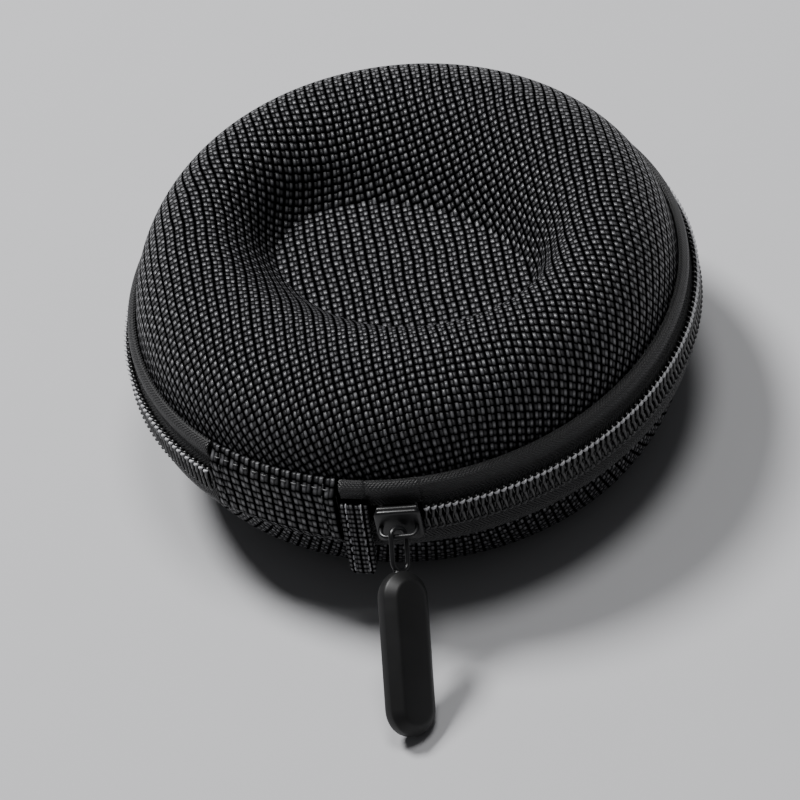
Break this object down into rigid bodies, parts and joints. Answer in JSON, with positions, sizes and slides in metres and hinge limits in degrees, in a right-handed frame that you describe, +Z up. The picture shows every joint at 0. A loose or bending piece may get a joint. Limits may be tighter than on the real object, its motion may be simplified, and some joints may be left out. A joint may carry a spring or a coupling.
{
  "type": "headphone carrying case",
  "caption": "Round moulded clamshell case with a dished centre on both faces, a fabric hinge, and a zip round the rim with a hanging rubber pull tab.",
  "frame": {"origin": "centre of the flat ring on the base that the closed case rests on", "axes": "+Z up through the lid, perpendicular to the zip plane; the hinge strip faces -Y; +X is to the right seen from the hinge side"},
  "size_m": [0.1202, 0.1464, 0.056],
  "materials": {
    "woven_cover": "matte",
    "eva_foam": "matte",
    "lining_fabric": "matte",
    "binding_fabric": "matte",
    "zip_tape": "matte",
    "zip_teeth": "satin",
    "hinge_fabric": "matte",
    "slider_metal": "gloss",
    "pull_rubber": "matte"
  },
  "bodies": {
    "base": {"base_cover": "woven_cover", "base_foam_shell": "eva_foam", "base_lining": "lining_fabric", "base_inner_binding": "binding_fabric", "base_zip_tape": "zip_tape", "base_zip_teeth": "zip_teeth", "base_hinge_flap": "hinge_fabric", "zip_end_loop": "hinge_fabric"},
    "hinge": {"hinge_strip": "hinge_fabric", "hinge_strip_lining": "lining_fabric"},
    "lid": {"lid_cover": "woven_cover", "lid_foam_shell": "eva_foam", "lid_lining": "lining_fabric", "lid_inner_binding": "binding_fabric", "lid_zip_tape": "zip_tape", "lid_zip_teeth": "zip_teeth", "lid_hinge_flap": "hinge_fabric"},
    "slider": {"slider_body": "slider_metal", "slider_crown": "slider_metal"},
    "puller": {"puller_link": "slider_metal", "pull_tab": "pull_rubber"}
  },
  "joints": [
    {"name": "hinge_lower", "type": "hinge", "parent": "base", "child": "hinge", "pos_m": [0, -0.0586, 0.022], "axis": [1, 0, 0], "range_deg": [0, 90]},
    {"name": "hinge_upper", "type": "hinge", "parent": "hinge", "child": "lid", "pos_m": [0, -0.0586, 0.034], "axis": [1, 0, 0], "range_deg": [0, 90]},
    {"name": "zip_travel", "type": "hinge", "parent": "base", "child": "slider", "pos_m": [0, 0, 0.028], "axis": [0, 0, 1], "range_deg": [0, 307]},
    {"name": "puller_swing", "type": "hinge", "parent": "slider", "child": "puller", "pos_m": [0.0285, -0.05742, 0.028], "axis": [-0.8957, -0.4446, 0], "range_deg": [-47, 129]}
  ],
  "couplings": [
    {"joint": "hinge_lower", "follows": "hinge_upper", "ratio": 1}
  ]
}
